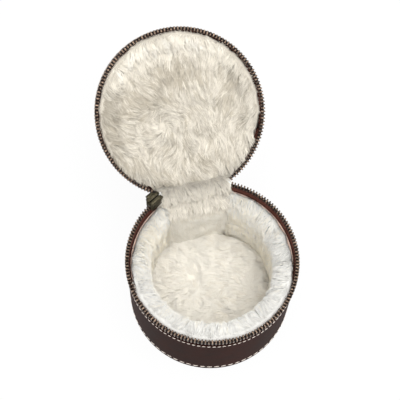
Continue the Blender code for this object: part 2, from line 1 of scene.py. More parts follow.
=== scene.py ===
"""Looks of a round leather jewelry case with a metal zip round its rim and long cream fur inside.

Lengths are in metres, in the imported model's frame: +Z up, +Y the hinge side, origin under the base.
Lid pieces are drawn as the base's are, below the plane where the two part, and go to the open lid last.
"""
import math
from collections import namedtuple

import bmesh
import bpy
import numpy as np
from mathutils import Matrix, Vector
from mathutils.kdtree import KDTree


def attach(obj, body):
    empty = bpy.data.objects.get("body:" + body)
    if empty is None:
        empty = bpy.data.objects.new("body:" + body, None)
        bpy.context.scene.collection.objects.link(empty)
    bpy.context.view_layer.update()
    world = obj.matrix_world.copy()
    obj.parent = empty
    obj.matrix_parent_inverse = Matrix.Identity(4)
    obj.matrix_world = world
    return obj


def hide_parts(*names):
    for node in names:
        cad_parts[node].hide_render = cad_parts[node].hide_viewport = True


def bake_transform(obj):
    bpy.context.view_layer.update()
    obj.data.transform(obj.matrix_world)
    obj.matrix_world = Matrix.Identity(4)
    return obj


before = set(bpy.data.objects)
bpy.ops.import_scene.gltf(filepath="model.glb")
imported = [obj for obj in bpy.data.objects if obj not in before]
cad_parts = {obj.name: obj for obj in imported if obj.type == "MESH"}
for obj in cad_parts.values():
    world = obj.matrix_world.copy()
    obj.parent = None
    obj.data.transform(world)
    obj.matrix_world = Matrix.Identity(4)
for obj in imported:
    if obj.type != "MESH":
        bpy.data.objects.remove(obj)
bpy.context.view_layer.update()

MM = 0.001

# Sizes of the case, as in the part's source
BASE_HEIGHT = 69.5 * MM
LID_HEIGHT = 28.0 * MM
LID_OPEN = math.radians(146.0)
WALL_RADIUS = 59.0 * MM
FLAT_DISTANCE = 53.0 * MM
CORNER_RADIUS = 8.0 * MM
LEATHER_TOP = BASE_HEIGHT - 11.2 * MM
HINGE_AXIS = Vector((0, 53.9 * MM, BASE_HEIGHT))
HINGE_LEATHER = 1.2 * MM
HINGE_WIDTH = 46.0 * MM
HINGE_LEG = 23.5 * MM
HINGE_BEND = 1.3 * MM
ROW_RADIUS = 58.7 * MM
ROW_BOTTOM = 65.3 * MM
TEETH_PER_TURN = 158
CORNER_ANGLE = math.atan2(45.0, math.sqrt(51.0**2 - 45.0**2))
ROW_START = math.pi - CORNER_ANGLE
ROW_END = 2 * math.pi + CORNER_ANGLE
TAPE_TAIL = 1.7 * MM / ROW_RADIUS
SLIDER_LENGTH = 11.4 * MM
PARK_ANGLE = ROW_START + (SLIDER_LENGTH / 2 - 3.4 * MM) / ROW_RADIUS
BAIL_RADIUS = 63.5 * MM
PHOTO_SIZE = 400

# The outer end of each half in millimetres, with the lid drawn as the base is
FEET = {"base": 0.0, "lid": round((BASE_HEIGHT - LID_HEIGHT) / MM, 3)}

# Places
MIRROR = Matrix.Translation((0, 0, 2 * BASE_HEIGHT)) @ Matrix.Scale(-1, 4, (0, 0, 1))
TURN = Matrix.Rotation(-LID_OPEN, 4, "X")
OPEN_LID = Matrix.Translation(HINGE_AXIS) @ TURN @ Matrix.Translation(-HINGE_AXIS) @ MIRROR
PARKED = Matrix.Translation((0, 0, BASE_HEIGHT)) @ Matrix.Rotation(PARK_ANGLE + math.pi / 2, 4, "Z")


def place_for(side):
    return OPEN_LID if side == "lid" else Matrix.Identity(4)


# Material helpers

def linear(code):
    """A colour written as sRGB hex, as linear values."""
    channels = [int(code[i:i + 2], 16) / 255 for i in (0, 2, 4)]
    return (*[c / 12.92 if c <= 0.04045 else ((c + 0.055) / 1.055) ** 2.4 for c in channels], 1.0)


def add(tree, kind, links=None, into=None, stops=(), **settings):
    """A node with its settings; links gives each input a value or another node's output.

    Stops are a ramp's places and colours, and into is the socket that the node's result goes to.
    """
    made = tree.nodes.new("ShaderNode" + kind)
    for name, value in settings.items():
        setattr(made, name, value)
    for name, value in (links or {}).items():
        if isinstance(value, bpy.types.NodeSocket):
            tree.links.new(value, made.inputs[name])
        else:
            made.inputs[name].default_value = value
    for i, (position, code) in enumerate(stops):
        elements = made.color_ramp.elements
        element = elements[i] if i < 2 else elements.new(position)
        element.position = position
        element.color = linear(code)
    if into:
        tree.links.new(made.outputs[0], into)
    return made


def new_material(name):
    mat = bpy.data.materials.new(name)
    mat.use_nodes = True
    return mat, mat.node_tree, mat.node_tree.nodes["Principled BSDF"]


def oiled_leather():
    """Oiled cowhide, vegetable tanned: dark brown, fine pebbled grain, a dull waxy gloss."""
    mat, tree, shader = new_material("oiled_cowhide")
    where = add(tree, "TexCoord").outputs["Object"]
    cloud = add(tree, "TexNoise", {"Vector": where, "Scale": 55.0, "Detail": 4.0, "Roughness": 0.6})
    tint = shader.inputs["Base Color"]
    add(tree, "ValToRGB", {"Fac": cloud.outputs["Fac"]}, tint, [(0.3, "25140F"), (0.72, "361F1A")])
    grain = add(tree, "TexVoronoi", {"Vector": where, "Scale": 1 / (0.9 * MM)}, feature="DISTANCE_TO_EDGE")
    creases = add(tree, "TexNoise", {"Vector": where, "Scale": 1 / (2.5 * MM), "Detail": 3.0})
    height = add(tree, "Math", {0: grain.outputs["Distance"], 1: creases.outputs["Fac"]}, operation="ADD")
    relief = {"Height": height.outputs["Value"], "Strength": 0.35, "Distance": 0.12 * MM}
    add(tree, "Bump", relief, shader.inputs["Normal"])
    gloss = {"Value": cloud.outputs["Fac"], "To Min": 0.5, "To Max": 0.68}
    add(tree, "MapRange", gloss, shader.inputs["Roughness"])
    shader.inputs["IOR"].default_value = 1.45
    shader.inputs["Specular IOR Level"].default_value = 0.03
    return mat


def woven_tape(name, dark, light):
    """Woven polyester zip tape: red-brown, matt, with a raised twill of dotted threads."""
    mat, tree, shader = new_material(name)
    surface = add(tree, "UVMap").outputs["UV"]
    thread = 1.1 * MM
    fine = add(tree, "Mapping", {"Vector": surface, "Scale": (1 / thread, 1 / thread, 1.0)})
    strands = {"Vector": fine.outputs["Vector"], "Scale": 0.32}
    warp = add(tree, "TexWave", strands, bands_direction="X")
    weft = add(tree, "TexWave", strands, bands_direction="Y")
    weave = add(tree, "Math", {0: warp.outputs["Fac"], 1: weft.outputs["Fac"]}, operation="MULTIPLY")
    tint = shader.inputs["Base Color"]
    add(tree, "ValToRGB", {"Fac": weave.outputs["Value"]}, tint, [(0.05, dark), (0.7, light)])
    relief = {"Height": weave.outputs["Value"], "Strength": 0.5, "Distance": 0.15 * MM}
    add(tree, "Bump", relief, shader.inputs["Normal"])
    shader.inputs["Roughness"].default_value = 0.85
    return mat


def antique_brass(name, dark, light, roughness):
    """Antique-finished brass, tumbled: near black in the hollows, brown where it has rubbed."""
    mat, tree, shader = new_material(name)
    where = add(tree, "TexCoord").outputs["Object"]
    tarnish = add(tree, "TexNoise", {"Vector": where, "Scale": 1 / (1.6 * MM), "Detail": 3.0})
    tint = shader.inputs["Base Color"]
    add(tree, "ValToRGB", {"Fac": tarnish.outputs["Fac"]}, tint, [(0.38, dark), (0.64, light)])
    shader.inputs["Metallic"].default_value = 0.85
    shader.inputs["Roughness"].default_value = roughness
    relief = {"Height": tarnish.outputs["Fac"], "Strength": 0.2, "Distance": 0.05 * MM}
    add(tree, "Bump", relief, shader.inputs["Normal"])
    return mat


def faux_fur(name, stops):
    """Acrylic long-pile faux fur, cream: whiter at the tips and darker toward the roots as painted shade
    deep in the pile, no gloss, a light halo.
    """
    mat, tree, shader = new_material(name)
    # The shade attribute holds painted light and shade as well as random tone
    shade = add(tree, "Attribute", attribute_name="shade").outputs["Fac"]
    where = add(tree, "TexCoord").outputs["Object"]
    patches = add(tree, "TexNoise", {"Vector": where, "Scale": 60.0, "Detail": 2.0})
    shift = add(tree, "MapRange", {"Value": patches.outputs["Fac"], "To Min": -0.12, "To Max": 0.12})
    both = {0: shade, 1: shift.outputs["Result"]}
    level = add(tree, "Math", both, operation="ADD", use_clamp=True).outputs["Value"]
    add(tree, "ValToRGB", {"Fac": level}, shader.inputs["Base Color"], stops)
    shader.inputs["Roughness"].default_value = 0.9
    shader.inputs["Sheen Weight"].default_value = 0.2
    shader.inputs["Specular IOR Level"].default_value = 0.2
    return mat


def matt(name, code, shadow, scale, depth):
    """A matt body with a fine tooth, darker in its hollows: thread, cloth, board or foam."""
    mat, tree, shader = new_material(name)
    where = add(tree, "TexCoord").outputs["Object"]
    tooth = add(tree, "TexNoise", {"Vector": where, "Scale": 1 / scale, "Detail": 3.0})
    tint = shader.inputs["Base Color"]
    add(tree, "ValToRGB", {"Fac": tooth.outputs["Fac"]}, tint, [(0.3, shadow), (0.6, code)])
    shader.inputs["Roughness"].default_value = 0.92
    relief = {"Height": tooth.outputs["Fac"], "Strength": 0.4, "Distance": depth}
    add(tree, "Bump", relief, shader.inputs["Normal"])
    return mat


# A ramp's first and last colours, then those between. The wall's stops are a copy of the same pile's in a
# cooler white, as painted light
PILE_STOPS = [(0.0, "BCB3A2"), (0.95, "FFFAEE"), (0.35, "E4DDCF"), (0.6, "F3EBDA")]
COOL_LIT_WALL_STOPS = [(0.2, "D2D0C9"), (0.95, "FFF7E4"), (0.5, "E9E8E3"), (0.68, "F5F3EC")]

MATERIALS = {
    "brown_leather": oiled_leather(),
    "zip_tape": woven_tape("woven_polyester_tape", "4A2520", "7E4A3A"),
    # The bead's near-black colour is painted shade, the shade that falls between the teeth
    "tape_bead": woven_tape("polyester_bead_painted_shade", "190D0B", "341D18"),
    "antique_brass": antique_brass("tumbled_brass_teeth", "241B16", "937E6D", 0.34),
    "slider_brass": antique_brass("tumbled_brass_slider", "353124", "5C5644", 0.5),
    "cream_fur": faux_fur("acrylic_pile", PILE_STOPS),
    "wall_fur": faux_fur("acrylic_pile_painted_cool_light", COOL_LIT_WALL_STOPS),
    "lining_edge": matt("cotton_lining_edge", "F3D9C9", "DFC3B2", 0.5 * MM, 0.05 * MM),
    "thread": matt("waxed_linen_thread", "F2E8DE", "D9CABF", 0.3 * MM, 0.05 * MM),
    "grey_board": matt("pressed_paper_board", "9A8B76", "85765F", 0.8 * MM, 0.03 * MM),
    "sponge_padding": matt("polyurethane_foam", "E8E0CC", "C9C0A6", 0.6 * MM, 0.2 * MM),
}


# Modelling helpers

def pick(obj):
    """Makes the object the only one selected, and the active one."""
    for other in bpy.context.selected_objects:
        other.select_set(False)
    obj.select_set(True)
    bpy.context.view_layer.objects.active = obj


def new_object(name, data):
    obj = bpy.data.objects.new(name, data)
    bpy.context.scene.collection.objects.link(obj)
    return obj


def added(name):
    """The primitive that was just added, under its name."""
    obj = bpy.context.object
    obj.name = obj.data.name = name
    return obj


def edit(obj):
    pick(obj)
    bpy.ops.object.mode_set(mode="EDIT")
    return bmesh.from_edit_mesh(obj.data)


def select_where(obj, kind, test):
    """In edit mode, selects only the faces or edges that pass the test."""
    bpy.ops.mesh.select_mode(type=kind)
    bpy.ops.mesh.select_all(action="DESELECT")
    mesh = bmesh.from_edit_mesh(obj.data)
    for part in mesh.faces if kind == "FACE" else mesh.edges:
        if test(part):
            part.select_set(True)
    bmesh.update_edit_mesh(obj.data)


def leave_edit():
    bpy.ops.object.mode_set(mode="OBJECT")


def close_up(obj):
    """Merges doubles and turns the faces outward."""
    edit(obj)
    bpy.ops.mesh.select_all(action="SELECT")
    bpy.ops.mesh.remove_doubles(threshold=0.002 * MM)
    bpy.ops.mesh.normals_make_consistent(inside=False)
    leave_edit()


def apply_modifier(obj, kind, **settings):
    pick(obj)
    modifier = obj.modifiers.new(kind.lower(), kind)
    for name, value in settings.items():
        setattr(modifier, name, value)
    bpy.ops.object.modifier_apply(modifier=modifier.name)


def soften(obj, width, segments, angle):
    """Rounds the edges that are sharper than the angle."""
    sharp = {"limit_method": "ANGLE", "angle_limit": math.radians(angle)}
    apply_modifier(obj, "BEVEL", width=width, segments=segments, **sharp)


def settle(obj, place):
    """Puts the object's own place and then the given one into its mesh."""
    bpy.context.view_layer.update()
    matrix = place @ obj.matrix_world
    obj.data.transform(matrix)
    obj.matrix_world = Matrix.Identity(4)
    if matrix.determinant() < 0:
        obj.data.flip_normals()


def dress(obj, mat, angle=35.0):
    obj.data.materials.clear()
    obj.data.materials.append(MATERIALS[mat])
    obj.data.shade_smooth()
    obj.data.set_sharp_from_angle(angle=math.radians(angle))
    return obj


def finish_piece(obj, side, mat, slot, *nodes, place=None):
    """The last steps of each piece: its place, finish, body and the nodes that it stands for."""
    settle(obj, place_for(side) if place is None else place)
    dress(obj, mat)
    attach(obj, side)
    if nodes:
        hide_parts(*nodes)
    return obj


def coordinates(obj, kind="co"):
    """Each vertex's place, or its normal, as a row of an array."""
    values = np.empty(len(obj.data.vertices) * 3, np.float64)
    obj.data.vertices.foreach_get(kind, values)
    return values.reshape(-1, 3)


def set_coordinates(obj, co):
    obj.data.vertices.foreach_set("co", np.ascontiguousarray(co, np.float32).ravel())
    obj.data.update()


def ring_map(obj):
    """A UV map of real lengths: along the rim, and up."""
    layer = obj.data.uv_layers.new(name="UVMap")
    co = coordinates(obj)
    index = np.empty(len(obj.data.loops), np.int32)
    obj.data.loops.foreach_get("vertex_index", index)
    at = co[index]
    angle = np.mod(np.arctan2(at[:, 1], at[:, 0]) - math.pi / 2, 2 * math.pi)
    uv = np.stack([angle * ROW_RADIUS, at[:, 2] + 0.3 * (np.hypot(at[:, 0], at[:, 1]))], -1)
    layer.data.foreach_set("uv", uv.astype(np.float32).ravel())


def spun(name, section, start, end, steps):
    """A closed section of radius and height in millimetres, spun about the case's axis."""
    bpy.ops.mesh.primitive_circle_add(vertices=len(section), radius=1.0, fill_type="NGON")
    obj = added(name)
    for vert, (radius, height) in zip(obj.data.vertices, section):
        vert.co = (radius * MM * math.cos(start), radius * MM * math.sin(start), height * MM)
    edit(obj)
    bpy.ops.mesh.select_all(action="SELECT")
    bpy.ops.mesh.spin(steps=steps, angle=start - end, center=(0, 0, 0), axis=(0, 0, 1))
    leave_edit()
    close_up(obj)
    return obj


def plan_radius(angle, inset):
    """How far the case's outline lies from its axis at an angle: round, flat back, soft corners."""
    wall = WALL_RADIUS - inset
    flat = FLAT_DISTANCE - inset
    corner = max(CORNER_RADIUS - inset, 1.0 * MM)
    centre_y = flat - corner
    centre_x = math.sqrt((wall - corner) ** 2 - centre_y**2)
    off = abs(math.remainder(angle - math.pi / 2, 2 * math.pi))
    if off >= math.pi / 2 - math.atan2(centre_y, centre_x):
        return wall
    if math.tan(off) * flat <= centre_x:
        return flat / math.cos(off)
    toward = centre_x * math.sin(off) + centre_y * math.cos(off)
    return toward + math.sqrt(toward**2 - centre_x**2 - centre_y**2 + corner**2)


def put_on_plan(verts, inset, height):
    for vert in verts:
        angle = math.atan2(vert.co.y, vert.co.x)
        radius = plan_radius(angle, inset)
        vert.co = (radius * math.cos(angle), radius * math.sin(angle), height)


def plan_form(name, section, count, solid):
    """A wall or a disc on the case's outline: a loop extruded through each inset and height."""
    bpy.ops.mesh.primitive_circle_add(vertices=count, radius=1.0)
    obj = added(name)
    mesh = edit(obj)
    levels = [(inset * MM, height * MM) for inset, height in section]
    put_on_plan(mesh.verts, *levels[0])
    bpy.ops.mesh.select_mode(type="EDGE")
    bpy.ops.mesh.select_all(action="SELECT")
    for level in levels[1:]:
        bpy.ops.mesh.extrude_edges_move()
        mesh = bmesh.from_edit_mesh(obj.data)
        put_on_plan([v for v in mesh.verts if v.select], *level)
    bmesh.update_edit_mesh(obj.data)
    select_where(obj, "EDGE", lambda e: len(e.link_faces) == 1)
    if solid:
        bpy.ops.mesh.edge_face_add()
    else:
        bpy.ops.mesh.bridge_edge_loops()
    leave_edit()
    close_up(obj)
    return obj


def copies(name, source, places):
    """One modelled shape repeated at each place, as one piece with its own mesh."""
    shape = coordinates(source)
    faces = [tuple(p.vertices) for p in source.data.polygons]
    ones = np.hstack([shape, np.ones((len(shape), 1))])
    verts = []
    polygons = []
    for i, place in enumerate(places):
        verts.append((ones @ np.array(place).T)[:, :3])
        order = faces if place.determinant() > 0 else [face[::-1] for face in faces]
        polygons += [tuple(v + i * len(shape) for v in face) for face in order]
    mesh = bpy.data.meshes.new(name)
    mesh.from_pydata(np.concatenate(verts).tolist(), [], polygons)
    bpy.data.objects.remove(source)
    return new_object(name, mesh)


def on_ring(angle, radius, height):
    """A place on the rim: X along it, Y outward, Z up."""
    spot = Matrix.Translation((radius * math.cos(angle), radius * math.sin(angle), height))
    return spot @ Matrix.Rotation(angle - math.pi / 2, 4, "Z")


def block(name, low, high):
    """A box between two corners, given in millimetres."""
    centre = [(a + b) / 2 * MM for a, b in zip(low, high)]
    size = [(b - a) * MM for a, b in zip(low, high)]
    bpy.ops.mesh.primitive_cube_add(size=1.0, location=centre, scale=size)
    obj = added(name)
    settle(obj, Matrix.Identity(4))
    return obj


def combine(obj, operand, operation):
    apply_modifier(obj, "BOOLEAN", operation=operation, solver="EXACT", object=operand)
    bpy.data.objects.remove(operand)


# Camera, first, so that every piece can be judged from it

def camera_at_photo():
    """The camera that the rim, the foot and the lid's outline were fitted with."""
    distance, focal = 716.8 * MM, 997.9
    azimuth, elevation = math.radians(-16.40), math.radians(68.47)
    pan, tilt, roll = math.radians(-0.40), math.radians(2.46), math.radians(3.49)
    target = Vector((0, 21.82 * MM, 43.64 * MM))
    back = Vector((
        math.sin(azimuth) * math.cos(elevation),
        -math.cos(azimuth) * math.cos(elevation),
        math.sin(elevation),
    ))
    forward = -back
    right = forward.cross(Vector((0, 0, 1))).normalized()
    up = right.cross(forward)
    forward = (forward + right * math.tan(pan) + up * math.tan(tilt)).normalized()
    right = forward.cross(up).normalized()
    up = right.cross(forward)
    turned_right = right * math.cos(roll) + up * math.sin(roll)
    turned_up = up * math.cos(roll) - right * math.sin(roll)
    axes = Matrix((turned_right, turned_up, -forward)).transposed().to_4x4()
    data = bpy.data.cameras.new("photo_camera")
    data.sensor_width = 36.0
    data.lens = data.sensor_width * focal / PHOTO_SIZE
    data.clip_start, data.clip_end = 0.01, 20.0
    camera = new_object("photo_camera", data)
    camera.matrix_world = Matrix.Translation(target + back * distance) @ axes
    bpy.context.scene.camera = camera


# Leather

def pucker(obj, height, pitch, depth):
    """Leather drawn in a little at each stitch of a row."""
    co = coordinates(obj)
    angle = np.arctan2(co[:, 1], co[:, 0])
    near = np.exp(-(((co[:, 2] - height) / (1.5 * MM)) ** 2))
    wave = 0.5 + 0.5 * np.cos(angle * WALL_RADIUS / pitch * 2 * math.pi)
    shrink = 1 - depth * near * wave / WALL_RADIUS
    outer = np.hypot(co[:, 0], co[:, 1]) > 52 * MM
    co[outer, :2] *= shrink[outer, None]
    set_coordinates(obj, co)


Stitch = namedtuple("Stitch", "pitch length thick lean stagger")
RIM_STITCH = Stitch(3.5 * MM, 2.5 * MM, 0.74 * MM, 0.12, 0.05 * MM)
EDGE_STITCH = Stitch(5.1 * MM, 3.9 * MM, 0.92 * MM, 0.16, 0.2 * MM)
LOWER_ROW = 5.0 * MM


def leather_shell():
    top = LEATHER_TOP / MM
    for side, end in (("base", "bottom"), ("lid", "top")):
        foot = FEET[side]
        outer = [(1.1, foot + 1.7), (0.5, foot + 1.8), (0.1, foot + 2.3), (0.0, foot + 3.2)]
        rise = [(0.0, foot + 3.2 + (top - foot - 4.6) * i / 7) for i in range(1, 8)]
        lip = [(0.0, top - 0.7), (0.12, top - 0.25), (0.4, top), (1.0, top), (1.3, top - 0.3)]
        inner = [(1.4, top - 0.8), (1.4, foot + 2.2), (1.3, foot + 1.8)]
        wall = plan_form(f"{side}_wall_shell", outer + rise + lip + inner, 512, solid=False)
        pucker(wall, (top - 2.0) * MM, RIM_STITCH.pitch, 0.18 * MM)
        pucker(wall, foot * MM + LOWER_ROW, EDGE_STITCH.pitch, 0.3 * MM)
        finish_piece(wall, side, "brown_leather", "brown_leather", f"{side}_wall_leather")
        disc = [(1.0, 0.0), (0.45, 0.05), (0.1, 0.35), (0.0, 0.8), (0.15, 1.25), (0.5, 1.4)]
        disc = [(inset, foot + height) for inset, height in disc]
        cap = plan_form(f"{side}_{end}_disc", disc, 256, solid=True)
        finish_piece(cap, side, "brown_leather", "brown_leather", f"{side}_{end}_leather")


def stitch_row(name, side, height, kind):
    """A row of thread stitches round the wall, each end going down into the leather."""
    pitch, length, thick, lean, stagger = kind
    turn = 2 * math.pi
    count = round(turn * WALL_RADIUS / pitch)
    bpy.ops.mesh.primitive_uv_sphere_add(segments=8, ring_count=6, radius=1.0)
    stitch = bpy.context.object
    stitch.scale = (thick / 2, thick * 0.42, length / 2)
    stitch.rotation_euler = (0, math.pi / 2 + lean, 0)
    settle(stitch, Matrix.Identity(4))
    rng = np.random.default_rng(count)
    places = []
    for i in range(count):
        angle = turn * i / count
        at, ahead = (
            Vector((math.cos(a), math.sin(a), 0)) * plan_radius(a, 0) for a in (angle, angle + 0.01)
        )
        heading = math.atan2(ahead.y - at.y, ahead.x - at.x)
        drop = stagger * rng.uniform(-1, 1)
        if abs(at.x) < HINGE_WIDTH / 2 + 1 * MM and at.y > 0:
            continue
        spot = Matrix.Translation((at.x, at.y, height + drop))
        places.append(spot @ Matrix.Rotation(heading - math.pi, 4, "Z"))
    row = copies(name, stitch, places)
    finish_piece(row, side, "thread", "brown_leather")


def stitches():
    upper = LEATHER_TOP - 1.3 * MM
    for side in ("base", "lid"):
        stitch_row(f"{side}_rim_stitches", side, upper, RIM_STITCH)
        stitch_row(f"{side}_edge_stitches", side, FEET[side] * MM + LOWER_ROW, EDGE_STITCH)


# Zip

def tapes():
    for side in ("base", "lid"):
        start, end = ROW_START - TAPE_TAIL, ROW_END + TAPE_TAIL
        section = [
            (56.7, 50.8), (57.3, 50.8), (57.3, 57.6), (57.5, 59.0), (57.9, 60.6), (58.4, 62.4),
            (58.85, 64.2), (59.0, 65.0), (58.4, 65.0), (58.25, 64.2), (57.8, 62.4), (57.3, 60.6),
            (56.9, 59.0), (56.7, 57.6),
        ]
        tape = spun(f"{side}_tape", section, start, end, 144)
        ring_map(tape)
        finish_piece(tape, side, "zip_tape", "zip_tape", f"{side}_zip_tape")
        bead = [(57.75, 65.3), (58.3, 65.04), (59.1, 65.04), (59.65, 65.3), (59.65, 66.0), (57.75, 66.0)]
        cord = spun(f"{side}_tape_bead", bead, start, end, 144)
        ring_map(cord)
        # The bead takes the near-black tape colour as painted shade between the teeth
        finish_piece(cord, side, "tape_bead", "zip_tape")
        edge = [
            (55.35, 50.9), (56.35, 50.9), (56.4, 58.3), (56.55, 60.1), (56.4, 60.9), (56.0, 61.2),
            (55.6, 60.9), (55.35, 60.1),
        ]
        lining = spun(f"{side}_lining_fold", edge, ROW_START, ROW_END, 144)
        finish_piece(lining, side, "lining_edge", "lining_edge", f"{side}_lining_edge")


def tooth_shape():
    """One tooth, clamped on the bead: a block, a little narrower at its top, with a shallow hollow in its
    rounded head.
    """
    tooth = block("tooth", (-0.52, -1.4, 0.0), (0.52, 1.4, 3.6))
    edit(tooth)
    select_where(tooth, "FACE", lambda face: face.normal.z > 0.9)
    bpy.ops.transform.resize(value=(0.9, 0.92, 1.0))
    bpy.ops.mesh.inset(thickness=0.22 * MM, depth=-0.25 * MM)
    leave_edit()
    soften(tooth, 0.16 * MM, 1, 50)
    return tooth


def teeth():
    pitch = 2 * math.pi / TEETH_PER_TURN
    for side, shift in (("base", 0.0), ("lid", 0.5)):
        count = int((ROW_END - ROW_START) / pitch - shift)
        first = ROW_END - (shift + 0.5) * pitch
        places = [on_ring(first - i * pitch, ROW_RADIUS, ROW_BOTTOM) for i in range(count)]
        row = copies(f"{side}_teeth", tooth_shape(), places)
        finish_piece(row, side, "antique_brass", "antique_brass", f"{side}_zip_teeth")


def slider():
    """Two rounded plates with flanges, a nose between the rows, and a wire bail outside."""
    body = block("slider_shell", (-5.7, -61.2, -5.4), (5.7, -55.94, 5.4))
    edit(body)
    select_where(body, "EDGE", lambda e: abs(e.verts[0].co.y - e.verts[1].co.y) > 1 * MM)
    bpy.ops.mesh.bevel(offset=2.6 * MM, segments=6, profile=0.5, affect="EDGES")
    leave_edit()
    combine(body, block("channel", (-7, -60.3, -4.5), (7, -56.84, 4.5)), "DIFFERENCE")
    middle, reach = -math.pi / 2, 0.12
    slot = [(58.14, -6.0), (59.1, -6.0), (59.1, 6.0), (58.14, 6.0)]
    combine(body, spun("slot", slot, middle - reach, middle + reach, 12), "DIFFERENCE")
    combine(body, block("nose", (2.3, -60.6, -0.28), (5.3, -56.5, 0.28)), "UNION")
    soften(body, 0.22 * MM, 2, 40)
    combine(body, bail_wire(), "UNION")
    finish_piece(body, "slider", "slider_brass", "antique_brass", "slider_body", place=PARKED)


def bail_wire():
    points = [
        (-3.8, -60.9), (-3.8, -62.6), (-3.62, -63.15), (-3.15, -63.45), (-2.6, -63.5),
        (2.6, -63.5), (3.15, -63.45), (3.62, -63.15), (3.8, -62.6), (3.8, -60.9),
    ]
    curve = bpy.data.curves.new("bail", "CURVE")
    curve.dimensions = "3D"
    curve.bevel_depth = 0.6 * MM
    curve.bevel_resolution = 3
    curve.use_fill_caps = True
    spline = curve.splines.new("POLY")
    spline.points.add(len(points) - 1)
    for point, (x, y) in zip(spline.points, points):
        point.co = (x * MM, y * MM, 0, 1)
    pick(new_object("bail", curve))
    bpy.ops.object.convert(target="MESH")
    obj = bpy.context.object
    close_up(obj)
    return obj


def pull():
    """A long rounded tab, its top curled round the bail, with a hole near the tip."""
    tab = block("pull_plate", (-3.2, -0.6, -20.0), (3.2, 0.6, -1.4))

    def lower_corner(e):
        through = abs(e.verts[0].co.y - e.verts[1].co.y) > 0.5 * MM
        return through and e.verts[0].co.z < -10 * MM

    edit(tab)
    select_where(tab, "EDGE", lower_corner)
    bpy.ops.mesh.bevel(offset=3.0 * MM, segments=8, profile=0.5, affect="EDGES")
    leave_edit()
    co = coordinates(tab)
    co[:, 0] *= np.where(co[:, 2] > -3 * MM, 2.55 / 3.2, 1.0)
    set_coordinates(tab, co)
    quarter = math.pi / 2
    for count, radius, length, height, turn, operation in (
        (24, 1.5, 4.0, -16.8, (quarter, 0, 0), "DIFFERENCE"),
        (32, 2.1, 5.1, 0.0, (0, quarter, 0), "UNION"),
        (32, 0.97, 12.0, 0.0, (0, quarter, 0), "DIFFERENCE"),
    ):
        size = {"vertices": count, "radius": radius * MM, "depth": length * MM}
        bpy.ops.mesh.primitive_cylinder_add(**size, location=(0, 0, height * MM), rotation=turn)
        rod = bpy.context.object
        settle(rod, Matrix.Identity(4))
        combine(tab, rod, operation)
    soften(tab, 0.18 * MM, 2, 40)
    pivot = PARKED @ Matrix.Translation((0, -BAIL_RADIUS, 0))
    finish_piece(tab, "pull", "slider_brass", "antique_brass", "pull_tab", place=pivot)


# Hinge

def fold_path(offset, leg, steps):
    """The strip's line seen from the side, lid open: up the base, over the fold, down the lid."""
    centre_y = HINGE_AXIS.y + HINGE_BEND
    centre_z = BASE_HEIGHT - HINGE_BEND * math.tan(LID_OPEN / 2)
    straight = centre_z - (BASE_HEIGHT - leg)
    radius = HINGE_BEND + offset
    points = []
    for i in range(6):
        points.append((HINGE_AXIS.y - offset, centre_z - straight * (1 - i / 6)))
    for i in range(steps + 1):
        a = LID_OPEN * i / steps
        points.append((centre_y - radius * math.cos(a), centre_z + radius * math.sin(a)))
    last = points[-1]
    down = (math.sin(LID_OPEN), math.cos(LID_OPEN))
    for i in range(1, 7):
        reach = straight * i / 6
        points.append((last[0] + down[0] * reach, last[1] + down[1] * reach))
    return points


def hinge_strip():
    """The leather hinge: a flat strip laid over the fold, its ends glued down base and lid."""
    path = fold_path(0.0, HINGE_LEG, 14)
    bpy.ops.mesh.primitive_grid_add(x_subdivisions=24, y_subdivisions=len(path) - 1, size=1.0)
    strip = added("hinge_strip")
    co = coordinates(strip)
    row = np.rint((co[:, 1] + 0.5) * (len(path) - 1)).astype(int)
    line = np.array(path)
    across = co[:, 0] * HINGE_WIDTH
    set_coordinates(strip, np.stack([across, line[row, 0], line[row, 1]], -1))
    close_up(strip)
    apply_modifier(strip, "SOLIDIFY", thickness=HINGE_LEATHER, offset=0.0)
    soften(strip, 0.25 * MM, 2, 50)
    dress(strip, "brown_leather")
    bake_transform(strip)
    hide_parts("hinge_leather")


# Fur

def ripple(points, size, seed):
    """Smooth noise between about -1 and 1, with waves of about the given size."""
    rng = np.random.default_rng(seed)
    total = np.zeros(len(points))
    for _ in range(12):
        heading = rng.normal(size=3)
        heading /= np.linalg.norm(heading)
        wave = size * rng.uniform(0.7, 1.5)
        total += np.sin(points @ heading * 2 * math.pi / wave + rng.uniform(0, 2 * math.pi))
    return total / 4.0


def unit(vectors):
    return vectors / np.maximum(np.linalg.norm(vectors, axis=1, keepdims=True), 1e-9)


def smooth_step(value, low, high):
    t = np.clip((value - low) / (high - low), 0, 1)
    return t * t * (3 - 2 * t)


def vert_normals(obj):
    return coordinates(obj, "normal")


def tousle(obj, depth, size, seed, share=1.0):
    """Moves the pelt's surface in and out in soft tufts, by a share of the depth."""
    co = coordinates(obj)
    swell = share * depth * (ripple(co, size, seed) + 0.5 * ripple(co, size / 2.3, seed + 1))
    set_coordinates(obj, co + vert_normals(obj) * swell[:, None])


